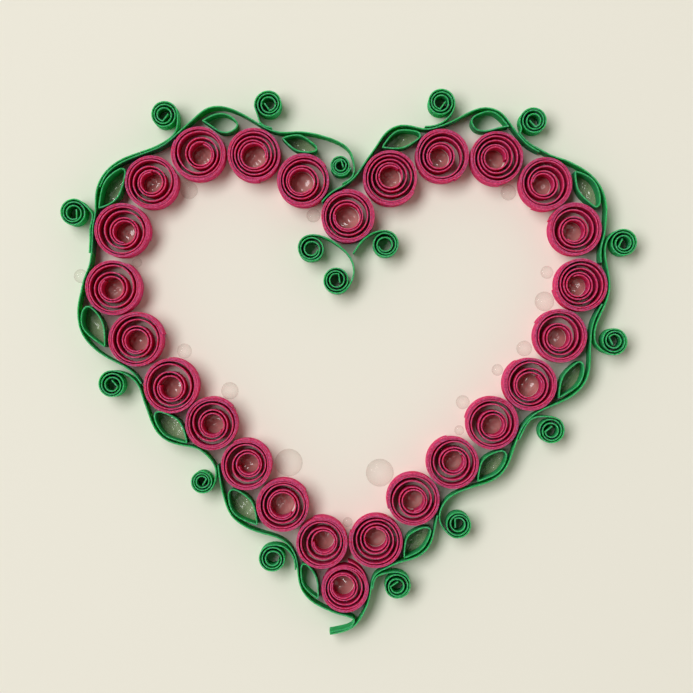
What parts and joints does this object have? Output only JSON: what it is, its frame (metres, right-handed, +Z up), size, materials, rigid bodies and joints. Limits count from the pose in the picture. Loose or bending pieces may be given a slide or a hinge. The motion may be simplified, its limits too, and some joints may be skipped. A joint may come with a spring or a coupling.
{
  "type": "quilled paper heart",
  "caption": "Open heart-shaped wreath of rolled pink paper coils, edged with green strips that end in loose curls, with pointed leaves and clear glue beads.",
  "frame": {"origin": "middle of the heart's outline on the plane it rests on", "axes": "+Z up through the strips' width, +X across the heart, +Y towards the cleft, with the point of the heart towards -Y"},
  "size_m": [0.098, 0.093, 0.005],
  "materials": {
    "pink_paper": "matt coloured quilling card with lighter cut edges",
    "green_paper": "matt coloured quilling card with lighter cut edges",
    "clear_glue": "clear dried craft glue, wet-looking gloss"
  },
  "bodies": {
    "root": {"curl_cleft": "green_paper", "glue_beads": "clear_glue", "leaf_01": "green_paper", "leaf_02": "green_paper", "leaf_03": "green_paper", "leaf_04": "green_paper", "leaf_05": "green_paper", "leaf_06": "green_paper", "leaf_07": "green_paper", "leaf_08": "green_paper", "leaf_09": "green_paper", "leaf_10": "green_paper", "leaf_11": "green_paper", "leaf_12": "green_paper", "leaf_13": "green_paper", "rose_01": "pink_paper", "rose_02": "pink_paper", "rose_03": "pink_paper", "rose_04": "pink_paper", "rose_05": "pink_paper", "rose_06": "pink_paper", "rose_07": "pink_paper", "rose_08": "pink_paper", "rose_09": "pink_paper", "rose_10": "pink_paper", "rose_11": "pink_paper", "rose_12": "pink_paper", "rose_13": "pink_paper", "rose_14": "pink_paper", "rose_15": "pink_paper", "rose_16": "pink_paper", "rose_17": "pink_paper", "rose_18": "pink_paper", "rose_19": "pink_paper", "rose_20": "pink_paper", "rose_21": "pink_paper", "rose_22": "pink_paper", "rose_23": "pink_paper", "rose_24": "pink_paper", "rose_25": "pink_paper", "rose_26": "pink_paper", "scroll_bottom_left": "green_paper", "scroll_bottom_right": "green_paper", "scroll_left": "green_paper", "scroll_lower_right": "green_paper", "scroll_top_left": "green_paper", "scroll_top_right": "green_paper", "scroll_upper_left": "green_paper", "scroll_window": "green_paper", "scroll_window_side": "green_paper", "vine_bottom_left": "green_paper", "vine_bottom_right": "green_paper", "vine_cleft_left": "green_paper", "vine_cleft_right": "green_paper", "vine_left": "green_paper", "vine_lower_left": "green_paper", "vine_lower_right": "green_paper", "vine_right": "green_paper", "vine_upper_right": "green_paper"}
  },
  "joints": []
}
